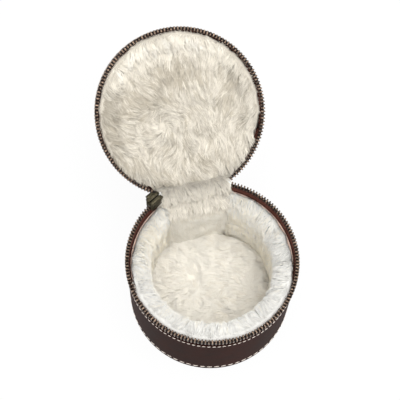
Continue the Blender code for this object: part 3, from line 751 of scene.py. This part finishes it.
def roots_on(obj, spacing, rng, density):
    """Even random spots on the pelt, with its normal there; density says how thickly hair grows."""
    mesh = obj.data
    mesh.calc_loop_triangles()
    corner = np.empty(len(mesh.loop_triangles) * 3, np.int32)
    mesh.loop_triangles.foreach_get("vertices", corner)
    corner = corner.reshape(-1, 3)
    co, no = coordinates(obj), vert_normals(obj)
    a, b, c = (co[corner[:, i]] for i in range(3))
    area = np.linalg.norm(np.cross(b - a, c - a), axis=1) / 2
    area = area * density((a + b + c) / 3, unit(np.cross(b - a, c - a)))
    reach = np.cumsum(area)
    count = int(reach[-1] / spacing**2)
    spot = (np.arange(count) + rng.uniform(0, 1, count)) / count * reach[-1]
    tri = np.clip(np.searchsorted(reach, spot), 0, len(area) - 1)
    u, v = rng.uniform(0, 1, (2, count))
    over = u + v > 1
    u, v = np.where(over, 1 - u, u)[:, None], np.where(over, 1 - v, v)[:, None]
    w = 1 - u - v
    points = a[tri] * w + b[tri] * u + c[tri] * v
    ia, ib, ic = corner[tri].T
    return points, unit(no[ia] * w + no[ib] * u + no[ic] * v)


def search_tree(points):
    found = KDTree(len(points))
    for i, point in enumerate(points):
        found.insert(point, i)
    found.balance()
    return found


def tufts(points, drift, seed):
    """Each hair's tuft: the nearest of many short lines laid along the pile."""
    rng = np.random.default_rng(seed)
    near = search_tree(points)
    count = max(1, int(len(points) * HAIR_SPACING**2 / (TUFT_WIDTH * TUFT_LENGTH)))
    spots = []
    owners = []
    for owner, i in enumerate(rng.choice(len(points), count, replace=False)):
        here = points[i]
        for _ in range(TUFT_STEPS):
            spots.append(here)
            owners.append(owner)
            here = here + drift[near.find(here)[1]] * TUFT_LENGTH / TUFT_STEPS
    lines = search_tree(spots)
    return np.array(owners)[[lines.find(point)[1] for point in points]], count


Pile = namedtuple("Pile", "length width lift wander clump tone seed fill")
# A pile's tone sets where its hair sits on the colour ramp. It differs piece by piece as painted light and
# shade on one cloth: lightest on the base's floor, deep in the hollow, darkest in the lid
PILES = {
    "base_wall": Pile(7.4, 0.4, 0.26, 0.36, 0.07, 0.53, 31, 0.7),
    "lid_wall": Pile(7.6, 0.4, 0.32, 0.42, 0.24, 0.3, 31, 0.7),
    "base_floor": Pile(7.0, 0.4, 0.3, 0.6, 0.2, 0.95, 53, 0.6),
    "lid_floor": Pile(8.0, 0.4, 0.32, 0.5, 0.26, 0.25, 53, 0.6),
    "base_back": Pile(7.0, 0.4, 0.46, 0.6, 0.16, 0.8, 77, 0.6),
    "lid_back": Pile(7.6, 0.42, 0.3, 0.4, 0.2, 0.3, 77, 0.6),
    "hinge": Pile(8.0, 0.4, 0.28, 0.35, 0.14, 0.44, 91, 0.7),
}
HAIR_SPACING = 0.55 * MM
TUFT_WIDTH = 1.4 * MM
TUFT_LENGTH = 7.0 * MM
TUFT_STEPS = 6


def locks(points, normals, run, pile):
    """Tapered three-sided hairs that rise from the pelt and lie down along the pile's run.

    The run gives each hair its direction, its share of the pile's length, how far it stands up and the light
    and shade painted on it.
    """
    flow, share, stand, tint = run
    seed = pile.seed
    rng = np.random.default_rng(seed)
    count = len(points)
    flow = unit(flow - normals * np.sum(flow * normals, axis=1, keepdims=True))
    side = np.cross(normals, flow)
    sway = 0.8 * ripple(points, 20 * MM, seed + 1) + 0.25 * ripple(points, 7 * MM, seed + 2)
    sway = pile.wander * sway
    drift = flow * np.cos(sway)[:, None] + side * np.sin(sway)[:, None]
    group, tuft_count = tufts(points, drift, seed + 11)
    own_turn, own_rise, own_tone = rng.normal(0, 1, (3, tuft_count))
    turn = sway + 0.14 * own_turn[group] + rng.normal(0, 0.1, count)
    heading = flow * np.cos(turn)[:, None] + side * np.sin(turn)[:, None]
    bend = 0.3 * ripple(points, 10 * MM, seed + 3) + rng.normal(0, 0.14, count)
    reach = pile.length * MM * share * rng.uniform(0.75, 1.15, count)
    rise = pile.lift * (1 + 0.1 * ripple(points, 12 * MM, seed + 4))
    rise = rise + 0.06 * own_rise[group] + rng.normal(0, 0.05, count)
    stations, slopes, tapers = (0.0, 0.34, 0.7, 1.0), (1.5, 0.55, -0.12), (1.0, 0.75)
    here = points - normals * 0.4 * MM
    spine = [here]
    for i, slope in enumerate(slopes):
        heading = unit(heading + np.cross(normals, heading) * (bend * 0.4)[:, None])
        climb = rise * slope + stand
        way = heading * np.cos(climb)[:, None] + normals * np.sin(climb)[:, None]
        here = here + way * (reach * (stations[i + 1] - stations[i]))[:, None]
        spine.append(here)
    total = np.stack([np.bincount(group, spine[-1][:, i], tuft_count) for i in range(3)], -1)
    members = np.maximum(np.bincount(group, minlength=tuft_count), 1)
    pull = (total / members[:, None])[group] - spine[-1]
    pull = pull - heading * np.sum(pull * heading, axis=1, keepdims=True)
    spine = [p + pull * pile.clump * 1.4 * t**2 for p, t in zip(spine, stations)]
    girth = rng.uniform(0.7, 1.25, count) * pile.width * MM / 2
    rings = [spine[0][:, None]]
    shading = [normals[:, None]]
    for i, taper in enumerate(tapers, 1):
        forward = unit(spine[i + 1] - spine[i - 1])
        across = unit(np.cross(normals, heading))
        up = np.cross(forward, across)
        half = (girth * taper)[:, None]
        sides = spine[i] - across * half, spine[i] + across * half
        rings.append(np.stack([sides[0], spine[i] + up * half * 0.8, sides[1]], 1))
        face = unit(normals + up * 0.9 - drift * 0.4)
        shading.append(np.stack([unit(face - across * 0.35), face, unit(face + across * 0.35)], 1))
    verts = np.concatenate(rings + [spine[3][:, None]], axis=1)
    shading = np.concatenate(shading + [normals[:, None]], axis=1)
    # The run's tint adds painted light and shade by place; the rest of each hair's level is random tone
    level = pile.tone + tint + (0.02 + 0.25 * pile.clump) * own_tone[group] + rng.normal(0, 0.1, count)
    level = level + 0.04 * ripple(points, 16 * MM, seed + 5)
    # Painted shade: each hair darker at its root, deep in the pile, and lighter toward its tip
    along = np.array([-0.15] + [-0.05] * 3 + [0.03] * 3 + [0.08])
    shade = level[:, None] + along[None]
    base = (np.arange(count) * 8)[:, None, None]
    tris = [(0, 1, 2), (0, 2, 3), (0, 3, 1), (4, 7, 5), (5, 7, 6), (6, 7, 4)]
    quads = [(1, 4, 5, 2), (2, 5, 6, 3), (3, 6, 4, 1)]
    quads = (np.array(quads)[None] + base).reshape(-1, 4)
    tris = (np.array(tris)[None] + base).reshape(-1, 3)
    return verts.reshape(-1, 3), quads, tris, shade.ravel(), shading.reshape(-1, 3)


def coat(name, node, pelt, hair, tone, place):
    """Joins the pelt and its hair into one piece that stands for the node."""
    co, quads, tris, shade, shading = hair
    pelt_co = coordinates(pelt)
    base = len(pelt_co)
    faces = [tuple(p.vertices) for p in pelt.data.polygons]
    faces += (quads + base).tolist()
    faces += (tris + base).tolist()
    # Painted shade: the pelt under the hair a little darker than the hair
    shades = np.concatenate([np.full(base, tone - 0.04), shade])
    shading = np.concatenate([vert_normals(pelt), shading])
    mesh = bpy.data.meshes.new(name)
    mesh.from_pydata(np.concatenate([pelt_co, co]).tolist(), [], faces)
    layer = mesh.attributes.new("shade", "FLOAT", "POINT")
    layer.data.foreach_set("value", np.clip(shades, 0, 1).astype(np.float32))
    bpy.data.objects.remove(pelt)
    obj = new_object(name, mesh)
    settle(obj, place)
    # The base's wall takes the cooler copy of the pile: painted light on the same cloth
    dress(obj, "wall_fur" if node == "base_wall_fur" else "cream_fur", 180.0)
    turned = shading @ np.array(place.to_3x3()).T
    mesh.normals_split_custom_set_from_vertices(turned.tolist())
    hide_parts(node)
    return obj


def grow(name, node, pelt, density, run, pile, place):
    rng = np.random.default_rng(pile.seed)
    points, normals = roots_on(pelt, HAIR_SPACING, rng, density)
    hair = locks(points, normals, run(points, normals), pile)
    return coat(name, node, pelt, hair, pile.tone, place)


def outward(points):
    """The level direction away from the case's axis, and the distance from it."""
    radius = np.maximum(np.hypot(points[:, 0], points[:, 1]), 1e-6)
    return np.stack([points[:, 0] / radius, points[:, 1] / radius, np.zeros(len(points))], -1), radius


def stack(x, y, z):
    return np.stack(np.broadcast_arrays(x, y, z), -1)


def rim_cover(points, lid):
    """How far the pile hides the lining's edge and the tape: all but towards the hinge."""
    x, y = points[:, 0] / MM, points[:, 1] / MM
    if lid:
        low, high = np.where(x < 0, 32, 13), np.where(x < 0, 46, 28)
    else:
        low, high = np.where(x < 0, -14, -40), np.where(x < 0, 30, 6)
    return 1 - smooth_step(y, low, high)


def fringe(points, flow, lid):
    """Past a ragged parting near the rim the pile lies outward, over the lining, up to the teeth.

    Where the lining and the tape show, the outer hairs are short and stand up instead.
    """
    out, radius = outward(points)
    radius = radius / MM
    cover = rim_cover(points, lid)
    parting = smooth_step(radius + 0.6 * ripple(points, 7 * MM, 5), 54.7, 55.7)
    edge = smooth_step(radius, 52.8, 54.6)
    up = stack(0.0, 0.0, 1.0)
    side = np.cross(out, up) * (parting * (1 - parting))[:, None]
    over = unit(flow) * (1 - parting)[:, None] + (out + 0.6 * up) * parting[:, None] + side
    rest = flow * (1 - edge)[:, None] + up * edge[:, None]
    flow = over * cover[:, None] + rest * (1 - cover)[:, None]
    room = np.clip((57.3 - radius) / 7.4, 0.12, 1.0)
    share = cover * (1 - parting * (1 - room)) + (1 - cover) * (1 - 0.6 * edge)
    return flow, share, -0.3 * parting * cover


def base_wall_run(points, normals):
    """Over the shoulder from the rim, a little to the front, then down the wall."""
    out, _ = outward(points)
    facing = np.sum(out * normals, axis=1)
    down = -smooth_step(-facing, 0.3, 0.9)
    deep = 1 - smooth_step(points[:, 2] / MM, 42, 61)
    rear = smooth_step(points[:, 1] / MM, -12, 34)
    left = smooth_step(-points[:, 0] / MM, 10, 45)
    # Painted light: the wall's pile lighter and warmer low in the hollow, and higher up lighter toward the
    # back and at the left
    tint = 0.4 * deep + (0.24 * rear + 0.1 * left) * (1 - deep)
    return *fringe(points, -out + stack(0.0, -0.35, down), False), tint


def lid_field(points):
    """The lid's pile: down to the hinge, in from the rim, and round one whorl."""
    x, y = points[:, 0] / MM, points[:, 1] / MM
    out, radius = outward(points)
    edge = smooth_step(radius / MM, 18, 46) * (1 - smooth_step(y, 2, 34))
    dx, dy = x + 13, y - 7
    far = np.maximum(np.hypot(dx, dy), 1e-6)
    whorl = 2.2 * np.exp(-((far / 19) ** 2))
    fx = 0.15 + whorl * (0.35 * dx - 0.9 * dy) / far - 0.9 * edge * out[:, 0]
    fy = 0.8 + whorl * (0.35 * dy + 0.9 * dx) / far - 0.9 * edge * out[:, 1]
    return stack(fx, fy, 0.0)


# Each patch of painted shade on the lid's pile: its middle and how far it reaches across and along, in
# millimetres, and its depth
PAINTED_SHADE_PATCHES = (
    (-33, -13, 21, 10, 0.26),
    (3, -29, 24, 8, 0.26),
    (41, -11, 8, 11, 0.14),
    (0, 34, 30, 9, 0.12),
)


def hinge_room(points):
    """How long the lid's pile may be by the hinge, so that none pokes out once the lid is shut."""
    return np.clip((52.6 - points[:, 1] / MM) / 8.0, 0.2, 1.0)


def lid_painted_light_and_shade(points):
    """Painted light and shade on the lid's pile: lighter along the top of the lid, painted shade in some
    patches below and at the left.
    """
    _, radius = outward(points)
    x, y = points[:, 0] / MM, points[:, 1] / MM
    # Painted light along the top of the lid
    level = 0.44 * smooth_step(radius / MM, 40, 50) * (1 - smooth_step(y, -44, -18))
    # Painted shade along the lid's left edge
    level -= 0.18 * smooth_step(radius / MM, 38, 54) * smooth_step(y, -34, -12) * smooth_step(-x, 0, 30)
    # Painted shade in patches
    for across, along, wide, tall, depth in PAINTED_SHADE_PATCHES:
        level -= depth * np.exp(-(((x - across) / wide) ** 2) - ((y - along) / tall) ** 2)
    return level


def lid_wall_run(points, normals):
    flow, share, stand = fringe(points, lid_field(points), True)
    return flow, share * hinge_room(points), stand, lid_painted_light_and_shade(points)


def lid_floor_run(points, normals):
    return lid_field(points), hinge_room(points), 0.0, lid_painted_light_and_shade(points)


def base_floor_run(points, normals):
    """The floor's pile lies across, fanning out from a spot left of its middle."""
    x, y = points[:, 0] / MM, points[:, 1] / MM
    dx, dy = x + 13, y - 10
    far = np.maximum(np.hypot(dx, dy), 1e-6)
    fan = 1.2 * np.exp(-((far / 15) ** 2))
    return stack(-0.9 + fan * dx / far, 0.25 + fan * dy / far, 0.0), 1.0, 0.0, 0.0


def base_back_run(points, normals):
    brow = smooth_step(points[:, 2] / MM, 53, 60)
    # Painted shade: the panel's pile darker at its brow, under the hinge ridge, and a little lighter lower
    # down
    return stack(0.12 * np.sin(points[:, 0] / (7 * MM)), -1.0, -1.0), 1.0, 0.0, 0.1 - 0.55 * brow


def lid_back_run(points, normals):
    return stack(0.0, np.ones(len(points)), 0.5), hinge_room(points), 0.0, 0.0


def hinge_run(points, normals):
    """Into the base, shorter at the two ends."""
    end = smooth_step(np.abs(points[:, 0]) / MM, 18, 24)
    return stack(0.65 * np.sign(points[:, 0]) * end, -1.0, -0.8), 1 - 0.2 * end, 0.0, 0.0


def swell_rim(pelt, lid):
    """Lets the shoulder bulge over the lining's edge where the pile covers the rim."""
    co = coordinates(pelt)
    out, radius = outward(co)
    z = co[:, 2] / MM
    bulge = smooth_step(radius / MM, 52, 54.5) * smooth_step(z, 60.6, 62.0)
    set_coordinates(pelt, co + out * (2.0 * MM * bulge * rim_cover(co, lid))[:, None])


def ring_section(foot, mouth):
    """The pelt of the wall, kept under the tips: outer side, shoulder, roll and upright wall."""
    line = [(55.0, foot), (55.0, 56.0), (54.9, 60.8), (54.9, 62.0)]
    line += [(54.5, 63.0), (53.8, 63.7), (52.8, 64.1), (51.4, 64.2)]
    for i in range(9, -1, -1):
        a = math.pi / 2 * i / 10
        line.append((44.9 + 6.8 * (1 - math.cos(a)), mouth + (64.1 - mouth) * math.sin(a)))
    steps = max(2, round((mouth - foot) / 2.2))
    line += [(44.9, mouth - (mouth - foot) * i / steps) for i in range(1, steps + 1)]
    return line


def floor_pad(name, foot, top, radius, back, bank, start, rear):
    """The pelt of a floor: a disc with a flat back, its edge banked up the wall."""
    bpy.ops.mesh.primitive_grid_add(x_subdivisions=56, y_subdivisions=56, size=2.0)
    pad = added(name)
    edit(pad)
    bpy.ops.mesh.select_all(action="SELECT")
    bpy.ops.mesh.extrude_region_move(TRANSFORM_OT_translate={"value": (0, 0, 1.0)})
    leave_edit()
    u, v, upper = coordinates(pad).T
    x = u * np.sqrt(1 - v**2 / 2) * radius
    y = v * np.sqrt(1 - u**2 / 2) * radius
    edge = np.hypot(x, y) / radius
    y = np.where(y > 0, y * back / radius, y)
    climb = np.clip((edge - start) / (1 - start), 0, 1) ** 2 * (1 + rear * smooth_step(y, 24, 46))
    z = np.where(upper > 0.5, top + bank * climb, foot)
    set_coordinates(pad, np.stack([x, y, z], -1) * MM)
    close_up(pad)
    return pad


def panel_block(name, half, back, foot, top, round_off, slope):
    """The pelt of the flat back between its two creases, with a soft brow."""
    panel = block(name, (-half, 40.4, foot), (half, back, top))
    edit(panel)
    bpy.ops.mesh.select_all(action="SELECT")
    bpy.ops.mesh.subdivide(number_cuts=15)
    leave_edit()
    co = coordinates(panel)
    side = np.abs(co[:, 0]) / (half * MM)
    front = co[:, 1] < 41 * MM
    co[:, 0] *= np.where(front, 0.85, 1.0)
    crease = 0.9 * MM * smooth_step(side, 0.72, 1.0)
    brow = round_off * MM * smooth_step(co[:, 2], (top - 6) * MM, top * MM)
    behind = np.clip((co[:, 1] / MM - 41) / 9.5, 0, 1)
    co[:, 2] += slope * MM * behind * smooth_step(co[:, 2], (top - 8) * MM, top * MM)
    co[:, 1] += np.where(front, crease + brow, 0)
    set_coordinates(panel, co)
    return panel


def fur():
    for side, foot, mouth in (("base", 7.5, 51.0), ("lid", 49.0, 51.0)):
        lid = side == "lid"
        place = place_for(side)
        wall = spun(f"{side}_pelt", ring_section(foot, mouth), ROW_START, ROW_END, 160)
        tousle(wall, 0.45 * MM, 10 * MM, 21)
        swell_rim(wall, lid)

        def over_wall(points, normals):
            out, _ = outward(points)
            outer = (np.sum(out * normals, axis=1) > 0.5) & (points[:, 2] < 59.5 * MM)
            along = np.abs(out[:, 0] * normals[:, 1] - out[:, 1] * normals[:, 0])
            cut_end = (along > 0.6) & (points[:, 2] < 58 * MM)
            under_pad = lid & (points[:, 2] < 62.6 * MM) & (np.hypot(points[:, 0], points[:, 1]) < 48.5 * MM)
            thin = 0.7 + 0.3 * smooth_step(points[:, 2] / MM, 40, 52)
            return thin * ~(outer | cut_end | under_pad) * (points[:, 2] > (foot + 1.5) * MM)

        if lid:
            pad = floor_pad("lid_pad", foot, 57.0, radius=49.5, back=50.0, bank=5.9, start=0.4, rear=0.5)
        else:
            pad = floor_pad("base_pad", foot, 10.4, radius=44.6, back=40.8, bank=2.0, start=0.55, rear=-0.35)
        _, radius = outward(coordinates(pad))
        inner = 1 - smooth_step(radius / MM, 34, 43)
        tousle(pad, (0.8 if lid else 0.4) * MM, 17 * MM, 47, inner)
        if lid:
            panel = panel_block("lid_panel", 24.2, 49.9, foot, top=57.5, round_off=0.4, slope=7.0)
        else:
            panel = panel_block("base_panel", 25.8, 50.5, foot, top=60.8, round_off=2.6, slope=3.4)
        tousle(panel, 0.5 * MM, 10 * MM, 61)

        def over_panel(points, normals):
            bare = lid & (points[:, 1] < 46 * MM) & (np.abs(points[:, 0]) < 22 * MM)
            return ((normals[:, 1] < -0.3) | (normals[:, 2] > 0.3)) & ~bare

        pieces = (
            ("wall", wall, over_wall, lid_wall_run if lid else base_wall_run),
            ("floor", pad, lambda p, n: n[:, 2] > 0.25, lid_floor_run if lid else base_floor_run),
            ("back", panel, over_panel, lid_back_run if lid else base_back_run),
        )
        for part, pelt, density, run in pieces:
            pile = PILES[f"{side}_{part}"]
            obj = grow(f"{side}_{part}_pile", f"{side}_{part}_fur", pelt, density, run, pile, place)
            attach(obj, side)


def hinge_ridge():
    """The fur over the hinge: a soft ridge between base and lid, its pile lying into the base."""
    half, leg, steps = 23.4 * MM, 9.5 * MM, 24
    outer = np.array(fold_path(3.9 * MM, leg, 20))
    inner = np.array(fold_path(1.0 * MM, leg, 20))
    ring = np.concatenate([outer, inner[::-1]])
    bpy.ops.mesh.primitive_circle_add(vertices=len(ring), radius=1.0, fill_type="NGON")
    pelt = bpy.context.object
    set_coordinates(pelt, np.stack([np.full(len(ring), -half), ring[:, 0], ring[:, 1]], -1))
    edit(pelt)
    for _ in range(steps):
        edge = max(v.co.x for v in bmesh.from_edit_mesh(pelt.data).verts) - 0.01 * MM
        select_where(pelt, "FACE", lambda face: all(v.co.x > edge for v in face.verts))
        bpy.ops.mesh.extrude_region_move(TRANSFORM_OT_translate={"value": (2 * half / steps, 0, 0)})
    leave_edit()
    close_up(pelt)
    tousle(pelt, 0.25 * MM, 12 * MM, 83)

    def outside(points, normals):
        before = points[:, 1] < HINGE_AXIS.y
        upper = (normals[:, 2] > 0.1) & ~(before & (normals[:, 1] > 0.3))
        return (upper | ((normals[:, 1] < -0.2) & before)) & (np.abs(normals[:, 0]) < 0.6)

    pile = PILES["hinge"]
    ridge = grow("hinge_pile", "hinge_fur", pelt, outside, hinge_run, pile, Matrix.Identity(4))
    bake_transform(ridge)


# Light and backdrop

def seen_directly(tree):
    """One where the camera sees a thing itself, in a reflection or through something clear."""
    path = add(tree, "LightPath")
    rays = [path.outputs[f"Is {kind} Ray"] for kind in ("Camera", "Glossy", "Transmission")]
    seen = add(tree, "Math", {0: rays[0], 1: rays[1]}, operation="MAXIMUM").outputs["Value"]
    return add(tree, "Math", {0: seen, 1: rays[2]}, operation="MAXIMUM").outputs["Value"]


def studio():
    room_light, table_glow = 0.84, 0.93
    scene = bpy.context.scene
    scene.view_settings.view_transform = "Standard"
    world = bpy.data.worlds.new("soft_room")
    scene.world = world
    world.use_nodes = True
    tree = world.node_tree
    tree.nodes.clear()
    light = add(tree, "Background", {"Color": linear("FFFFFF"), "Strength": room_light})
    white = add(tree, "Background", {"Color": linear("FFFFFF"), "Strength": 1.0})
    mix = add(tree, "MixShader", {0: seen_directly(tree), 1: light.outputs[0], 2: white.outputs[0]})
    out = add(tree, "OutputWorld")
    tree.links.new(mix.outputs[0], out.inputs["Surface"])
    for name, spot, size, power in (
        ("key_light", (0.12, -0.16, 1.1), 0.9, 7.4),
        ("fill_light", (-0.1, -0.8, 0.85), 0.8, 2.4),
    ):
        data = bpy.data.lights.new(name, "AREA")
        data.size = size
        data.energy = power
        lamp = new_object(name, data)
        lamp.location = spot
        aim = Vector((0, 0.05, 0.06)) - Vector(spot)
        lamp.rotation_euler = aim.to_track_quat("-Z", "Y").to_euler()
    bpy.ops.mesh.primitive_plane_add(size=6.0, location=(0, 0, -0.05 * MM))
    table = bpy.context.object
    table.name = "table"
    mat, tree, shader = new_material("white_paper_sweep")
    shader.inputs["Base Color"].default_value = linear("F4F4F4")
    shader.inputs["Roughness"].default_value = 0.9
    glow = add(tree, "Emission", {"Color": linear("FFFFFF"), "Strength": 1.0})
    share = add(tree, "Math", {0: seen_directly(tree), 1: table_glow}, operation="MULTIPLY")
    blend = add(tree, "MixShader", {0: share.outputs["Value"], 1: shader.outputs[0], 2: glow.outputs[0]})
    out = tree.nodes["Material Output"]
    tree.links.new(blend.outputs[0], out.inputs["Surface"])
    table.data.materials.append(mat)


def dress_kept_nodes():
    """CAD nodes whose shape stays: boards, foam and the zip's end stops."""
    finishes = {"board": "grey_board", "padding": "sponge_padding", "stop": "antique_brass"}
    for name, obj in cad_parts.items():
        for word, mat in finishes.items():
            if word in name:
                obj.data.materials.clear()
                obj.data.materials.append(MATERIALS[mat])


camera_at_photo()
leather_shell()
stitches()
tapes()
teeth()
slider()
pull()
hinge_strip()
fur()
hinge_ridge()
dress_kept_nodes()
studio()
